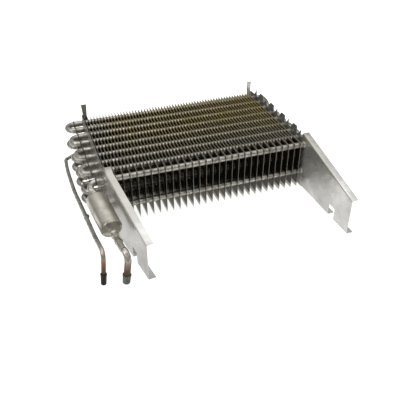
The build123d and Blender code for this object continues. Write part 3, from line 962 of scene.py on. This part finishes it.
def canister_material():
    """Spun aluminium: cloudy along its side, and darker with blotchy painted shade on the cone and round the
    outlet.
    """
    material, tree, shader, place = new_material("spun_canister")
    stain = patches(tree, place, 60.0, 0.34, 0.68)
    y = axes(tree, place)["Y"]
    front = (canister_frame @ Vector((CANISTER_FRONT, 0, 0))).y
    # Painted shade from the cone's start to the outlet. The patches mixed in below keep it blotchy.
    cone_shade = between(tree, y, front + CONE_SHADE_BEFORE, front - CONE_SHADE_BEHIND)
    side = mixed(tree, stain, CANISTER_BRIGHT, CANISTER_DULL)
    burnt = mixed(tree, patches(tree, place, 120.0, 0.42, 0.62), CONE_SHADE, CONE_SHADE_DARK)
    supply(tree, shader, {
        "Base Color": mixed(tree, cone_shade, side, burnt),
        "Roughness": ranged(tree, stain, 0.27, 0.42),
        "Metallic": 1.0,
    })
    relief(tree, shader, grain(tree, place, (350.0, 500.0, 350.0)), 0.12)
    return material


profile = [(0.0, 0.0)]
profile += round_corner(CANISTER_RADIUS - CORNER_ROUND, CORNER_ROUND, CORNER_ROUND, -pi / 2, 0)
profile += round_corner(CANISTER_RADIUS - CORNER_ROUND, FRONT_CORNER, CORNER_ROUND, 0, CONE_START)
profile += [*NECK_PROFILE, (0.0, CANISTER_END)]
shape = turned(profile, CANISTER_SIDES)
canister = piece_from(shape, "accumulator_canister", canister_material(), canister_frame)
fitted(canister, "canister", "accumulator")


# Suction bends: tubes of the coil's own size from the two front tubes to the canister's inlets. The
# upper one curls down into the rear face, and the lower one rises from below the canister.
INLET_OFFSET = 0.007
SUCTION_BEND_MM = (-29.0, 0, 0)
SUCTION_RADIUS = 0.010
RISER_OUT = 0.024
RISER_LEAD = 0.019
RISER_RADIUS = 0.009
IN_FACE = 0.002
BEAD_BACK = 0.0006


def in_canister(along, up):
    """A point of the canister's middle plane, by its distance along and above the axis."""
    return canister_frame @ Vector((along, 0, up))


def facing(place, way):
    """The matrix that sets a shape turned about the X axis at a place, pointing that way."""
    return Matrix.Translation(place) @ way.to_track_quat("X", "Z").to_matrix().to_4x4()


def tube_ring(name, inner, profile, place, way, material):
    """A ring round a tube, at a place on the tube's way."""
    ring = piece_from(ring_shape(inner, profile), name, material, facing(place, way))
    fitted(ring, "tube_metal")


upper_start, lower_start = [end + IN_MOUTH for end in front_ends]
corner = at(*SUCTION_BEND_MM)
upper_inlet = in_canister(0, INLET_OFFSET)
inside = upper_inlet + (upper_inlet - corner).normalized() * IN_FACE
route = bent([upper_start, corner, inside], [SUCTION_RADIUS])
fit_tube("upper_suction_tube", "upper_suction_bend", [route])

foot = Vector((PLATE_X - RISER_OUT, *lower_row[8]))
head = in_canister(-RISER_LEAD, -INLET_OFFSET)
inside = in_canister(IN_FACE, -INLET_OFFSET)
route = bent([lower_start, foot, head, inside], [RISER_RADIUS, RISER_RADIUS])
fit_tube("lower_suction_tube", "lower_suction_bend", [route])

for name, before, inlet in (("upper_inlet_bead", corner, upper_inlet),
                            ("lower_inlet_bead", head, in_canister(0, -INLET_OFFSET))):
    way = (inlet - before).normalized()
    tube_ring(name, TUBE_RADIUS, BEAD_PROFILE, inlet - way * BEAD_BACK, way, braze_metal)


# Outlet sleeve and suction tube: a short swaged socket brazed to the canister's cone, and the tube that
# runs forward from it and changes to copper just before it turns down to its capped end.
SLEEVE_RADIUS = 0.0056
SLEEVE_END = CANISTER_END + 0.009
SLEEVE_SIDES = 40
SLEEVE_START = CANISTER_END - 0.001
SLEEVE_CROWN = 0.0006
SLEEVE_RINGS = ((0.0, 0.0004), (0.0008, 0.0010), (0.0016, 0.0003), (0.0026, 0.0), (0.0062, 0.0),
                (0.0070, 0.0005), (0.0080, 0.0006), (0.0088, 0.0), (0.0094, -0.0008))
SUCTION_LEAD = 0.004
SUCTION_LEVEL = Vector((0.0024, -0.0310, 0.0025))
SUCTION_DROP = Vector((0.0070, -0.0480, 0.0045))
SUCTION_FOOT = Vector((0.0004, -0.0480, -0.0415))
SUCTION_BENDS = (0.012, 0.035)
SUCTION_COPPER = 0.013
DROP_RADIUS = 0.012
SOCKET_LENGTH = 0.009
MOUTH_PROFILE = ((0.0, -0.0088), (0.0005, -0.0075), (0.0005, -0.0012), (0.0007, -0.0007), (0.0007, 0.0))
SEAM_PROFILE = ((0.0010, -0.0001), (0.0012, 0.0001), (0.0010, 0.0007), (0.0002, 0.0011))
SEAM_ASIDE = 0.0009
SWAGED_BRIGHT = (0.74, 0.72, 0.65)
SWAGED_DULL = (0.40, 0.38, 0.325)
FILLER_SILVER = (0.60, 0.575, 0.51)
COPPER_BROWN = (0.26, 0.205, 0.165)
COPPER_DARK = (0.095, 0.064, 0.043)
COPPER_SPOT = (0.15, 0.10, 0.07)
SUCTION_DARK = 0.021
BAND_WANDER = 0.006


def swaged_material():
    """Bare aluminium tube, bright where it was swaged, with duller stains and fine marks."""
    material, tree, shader, place = new_material("swaged_tube")
    stain = patches(tree, place, 150.0, 0.38, 0.68)
    line = grain(tree, place, (500.0, 500.0, 500.0))
    colour = mixed(tree, stain, SWAGED_BRIGHT, SWAGED_DULL)
    supply(tree, shader, {
        "Base Color": mixed(tree, ranged(tree, line, 0.0, 0.35), colour, SWAGED_DULL),
        "Roughness": ranged(tree, stain, 0.26, 0.42),
        "Metallic": 1.0,
    })
    relief(tree, shader, line, 0.25)
    return material


swaged_metal = swaged_material()
profile = [(0.0, SLEEVE_START), (SLEEVE_RADIUS, SLEEVE_START)]
profile += [(SLEEVE_RADIUS + wider, CANISTER_END + along) for along, wider in SLEEVE_RINGS]
profile.append((0.0, SLEEVE_END + SLEEVE_CROWN))
socket = piece_from(turned(profile, SLEEVE_SIDES), "outlet_socket", swaged_metal, canister_frame)
fitted(socket, "canister", "outlet_sleeve")

sleeve_end = in_canister(SLEEVE_END, 0)
straight = in_canister(SLEEVE_END + SUCTION_LEAD, 0)
level = sleeve_end + SUCTION_LEVEL
drop = sleeve_end + SUCTION_DROP
foot = sleeve_end + SUCTION_FOOT
joint = drop + (level - drop).normalized() * SUCTION_COPPER
route = bent([sleeve_end, straight, level, joint], SUCTION_BENDS)
fit_tube("suction_line", "suction_tube", [route], material=swaged_metal)

way = (level - straight).normalized()
mouth = straight + way * SOCKET_LENGTH
tube_ring("socket_mouth", TUBE_RADIUS, MOUTH_PROFILE, mouth, way, swaged_metal)
tube_ring("socket_bead", TUBE_RADIUS - SEAM_ASIDE, SEAM_PROFILE, mouth + RIGHT * SEAM_ASIDE, way, braze_metal)


def copper_material(name, brown, bright_z, dark_z):
    """Copper below a brazed joint: silvery with filler at the top, then heat-marked brown, and darker towards
    its lower end.
    """
    material, tree, shader, place = new_material(name)
    height = axes(tree, place)["Z"]
    wander = combined(tree, patches(tree, place, 130.0, 0.3, 0.7), BAND_WANDER)
    # Silver at the top, then brown, then darker towards the tube's lower end, in a band that wanders a
    # little.
    down_tube = between(tree, combined(tree, height, wander, "ADD"), bright_z, dark_z)
    ramp = node(tree, "ShaderNodeValToRGB", {"Fac": down_tube})
    ramp.color_ramp.elements[0].color = (*FILLER_SILVER, 1)
    ramp.color_ramp.elements[1].color = (*COPPER_DARK, 1)
    ramp.color_ramp.elements.new(0.5).color = (*brown, 1)
    stain = patches(tree, place, 260.0, 0.45, 0.7)
    supply(tree, shader, {
        "Base Color": mixed(tree, ranged(tree, stain, 0.0, 0.6), ramp.outputs["Color"], COPPER_SPOT),
        "Roughness": ranged(tree, stain, 0.30, 0.5),
        "Metallic": 0.95,
    })
    return material


suction_copper = copper_material("heat_marked_copper", COPPER_BROWN, level.z, foot.z + SUCTION_DARK)
route = bent([joint, drop, foot], [DROP_RADIUS])
fit_tube("suction_copper", "suction_copper_end", [route], material=suction_copper, slot="copper")


# Suction cap: a soft plastic cap pushed over the open end of the copper tube, with a thicker lip at its
# mouth and a rounded closed end.
CAP_SIDES = 48
SUCTION_CAP = (0.00615, 0.015)
CAP_END_WALL = 0.0015
CAP_END_ROUND = 0.0018
CAP_TAPER = 0.0004
CAP_LIP_SHARE = 0.06
CAP_LIP = 0.0024
CAP_LIP_SLOPE = 0.0006
CAP_EDGE = 0.0004
CAP_GAP = 0.0001
GREY = (0.075, 0.082, 0.075)
GREY_BLOOM = (0.22, 0.235, 0.215)
MOULD_GRAIN = 2600.0


def plastic_material(name, colour, pale, rough):
    """Soft moulded plastic with a faint mottled bloom."""
    material, tree, shader, place = new_material(name)
    bloom = patches(tree, place, 210.0, 0.40, 0.75)
    supply(tree, shader, {
        "Base Color": mixed(tree, bloom, colour, pale),
        "Roughness": ranged(tree, bloom, *rough),
        "Specular IOR Level": 0.2,
    })
    fine = node(tree, "ShaderNodeTexNoise", {"Vector": place, "Scale": MOULD_GRAIN, "Detail": 2.0})
    relief(tree, shader, fine.outputs["Fac"], 0.08)
    return material


def cap_piece(name, before, end, tube_radius, size, material):
    """A cap over a tube that arrives at end from before: a lipped mouth, straight sides, round end."""
    mouth_radius, length = size
    radius = mouth_radius * (1 - CAP_LIP_SHARE)
    mouth = length - CAP_END_WALL
    bottom = radius - CAP_TAPER - CAP_END_ROUND
    closed = [(0.0, -CAP_END_WALL)]
    closed += round_corner(bottom, CAP_END_ROUND - CAP_END_WALL, CAP_END_ROUND, -pi / 2, 0)
    closed += [
        (radius, mouth - CAP_LIP - CAP_LIP_SLOPE),
        (mouth_radius, mouth - CAP_LIP),
        (mouth_radius, mouth - CAP_EDGE),
        (mouth_radius - CAP_EDGE, mouth),
        (tube_radius + 2 * CAP_GAP, mouth),
        (tube_radius + CAP_GAP, CAP_GAP),
        (0.0, CAP_GAP),
    ]
    shape = turned(closed, CAP_SIDES)
    return piece_from(shape, name, material, facing(end, (before - end).normalized()))


grey_plastic = plastic_material("grey_cap_plastic", GREY, GREY_BLOOM, (0.36, 0.55))
suction_plug = cap_piece("suction_tube_cap", drop, foot, TUBE_RADIUS, SUCTION_CAP, grey_plastic)
fitted(suction_plug, "grey_cap", "suction_cap")


# Liquid line: a small feed tube from the feed bend along the left side, brazed into the tube that rises
# beside the canister and turns down to a copper end with a black plastic cap.
LINE_RADIUS = 0.003175
FEED_MM = ((-14.7, 190.5, -50.0), (-33.0, 190.5, -57.0), (-42.0, 184.0, -57.5), (-44.0, 140.0, -56.6),
           (-43.2, 64.0, -51.0), (-39.0, -24.0, -38.5))
FEED_BENDS = (0.006, 0.009, 0.4, 0.4, 0.03)
FEED_LEAD = 0.007
RISE_MM = (-36.2, -94.0, -27.5)
RISE_BEND = 0.12
LIQUID_DROP_MM = (-33.0, -145.0, -17.0)
LIQUID_DROP_BEND = 0.011
LIQUID_FOOT_MM = (-38.2, -149.0, -66.0)
LIQUID_COPPER = 0.024
LINE_MOUTH_WIDE = 1 + 0.0004 / LINE_RADIUS
LINE_MOUTH = ((0.0, 1.0), (0.0006, LINE_MOUTH_WIDE), (0.006, LINE_MOUTH_WIDE), (0.0075, 1.0))
DRIP_SMALLER = 0.0004
DRIP_ASIDE = 0.0011
LIQUID_BROWN = (0.29, 0.155, 0.09)
LIQUID_BRIGHT = 0.004
LIQUID_DARK = 0.024
LIQUID_CAP = (0.0045, 0.018)
BLACK = (0.008, 0.008, 0.008)
BLACK_BLOOM = (0.03, 0.03, 0.03)

feed_route = [at(*point) for point in FEED_MM]
rise = at(*RISE_MM)
drop = at(*LIQUID_DROP_MM)
foot = at(*LIQUID_FOOT_MM)
feed_joint = feed_route[-1] + (rise - feed_route[-1]).normalized() * FEED_LEAD
copper_joint = drop + (rise - drop).normalized() * LIQUID_COPPER
route = bent([*feed_route, feed_joint], FEED_BENDS)
fit_tube("feed_line", "liquid_feed_tube", [route], LINE_RADIUS)

way = (rise - feed_joint).normalized()
mouth = [(feed_joint + way * along, wide) for along, wide in LINE_MOUTH]
route = [*mouth, *bent([mouth[-1][0], rise, copper_joint], [RISE_BEND])[1:]]
fit_tube("liquid_line", "liquid_tube", [route], LINE_RADIUS)
drip = feed_joint + RIGHT * DRIP_ASIDE
tube_ring("feed_joint_bead", LINE_RADIUS - DRIP_SMALLER, BEAD_PROFILE, drip, way, braze_metal)

liquid_copper = copper_material("heat_marked_liquid_copper", LIQUID_BROWN, drop.z + LIQUID_BRIGHT,
                                foot.z + LIQUID_DARK)
route = bent([copper_joint, drop, foot], [LIQUID_DROP_BEND])
fit_tube("liquid_copper", "liquid_copper_end", [route], LINE_RADIUS, liquid_copper, "copper")
black_plastic = plastic_material("black_cap_plastic", BLACK, BLACK_BLOOM, (0.28, 0.45))
liquid_plug = cap_piece("liquid_tube_cap", drop, foot, LINE_RADIUS, LIQUID_CAP, black_plastic)
fitted(liquid_plug, "black_cap", "liquid_cap")


# Studio: a plain pale floor, soft light from large lamps above, and a camera at the height and turn
# from which a small studio camera would look down on the coil's left front.
FLOOR_SIZE = 12.0
FLOOR_BELOW = 0.0005
FLOOR_PALE = ((0.76, 0.76, 0.755), (0.74, 0.74, 0.74))
FLOOR_GLOW = (0.34, 0.85)
LAMPS = (
    ("overhead_lamp", (0.0, 0.2, 2.6), (0.0, 0.1, 0.05), 3.0, 15.5),
    ("left_lamp", (-1.7, -0.3, 1.5), (0.0, 0.0, 0.05), 1.0, 7.0),
)
SKY = ((0.10, (0.20, 0.20, 0.205, 1)), (0.95, (0.78, 0.78, 0.78, 1)))
BACKDROP = (0.96, 0.96, 0.96)
CAMERA_PLACE = (-0.252822, -0.712264, 0.501847)
CAMERA_TURN = 19.54
CAMERA_TILT = 34.39
CAMERA_LENS = 47.68
CAMERA_SENSOR = 36.0

floor_shape = bmesh.new()
bmesh.ops.create_grid(floor_shape, x_segments=1, y_segments=1, size=FLOOR_SIZE / 2)
floor_material, tree, shader, place = new_material("pale_floor")
seen = node(tree, "ShaderNodeLightPath").outputs["Is Camera Ray"]
supply(tree, shader, {
    "Base Color": mixed(tree, patches(tree, place, 3.0, 0.3, 0.7), *FLOOR_PALE),
    "Roughness": 0.7,
    "Emission Color": (1.0, 1.0, 1.0, 1),
    "Emission Strength": ranged(tree, seen, *FLOOR_GLOW),
})
floor = piece_from(floor_shape, "studio_floor", floor_material)
floor.location.z = cad_low.z - FLOOR_BELOW
floor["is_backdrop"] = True

for name, place, target, size, power in LAMPS:
    light = bpy.data.lights.new(name, "AREA")
    light.shape = "SQUARE"
    light.size = size
    light.energy = power
    lamp = placed(name, light)
    lamp.location = place
    lamp.rotation_mode = "QUATERNION"
    lamp.rotation_quaternion = (Vector(target) - Vector(place)).to_track_quat("-Z", "Y")

world = bpy.data.worlds.new("studio")
bpy.context.scene.world = world
world.use_nodes = True
tree = world.node_tree
height = axes(tree, node(tree, "ShaderNodeTexCoord").outputs["Generated"])["Z"]
sky = node(tree, "ShaderNodeValToRGB", {"Fac": height})
for element, (position, colour) in zip(sky.color_ramp.elements, SKY):
    element.position = position
    element.color = colour
seen = node(tree, "ShaderNodeLightPath").outputs["Is Camera Ray"]
shown = mixed(tree, seen, sky.outputs["Color"], BACKDROP)
supply(tree, tree.nodes["Background"], {"Color": shown, "Strength": 1.0})

camera_data = bpy.data.cameras.new("camera")
camera_data.lens = CAMERA_LENS
camera_data.sensor_width = CAMERA_SENSOR
camera_data.clip_start = 0.01
camera = placed("camera", camera_data)
camera.location = CAMERA_PLACE
camera.rotation_euler = (radians(90 - CAMERA_TILT), 0, -radians(CAMERA_TURN))
bpy.context.scene.camera = camera
bpy.context.scene.view_settings.view_transform = "Standard"

low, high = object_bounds()
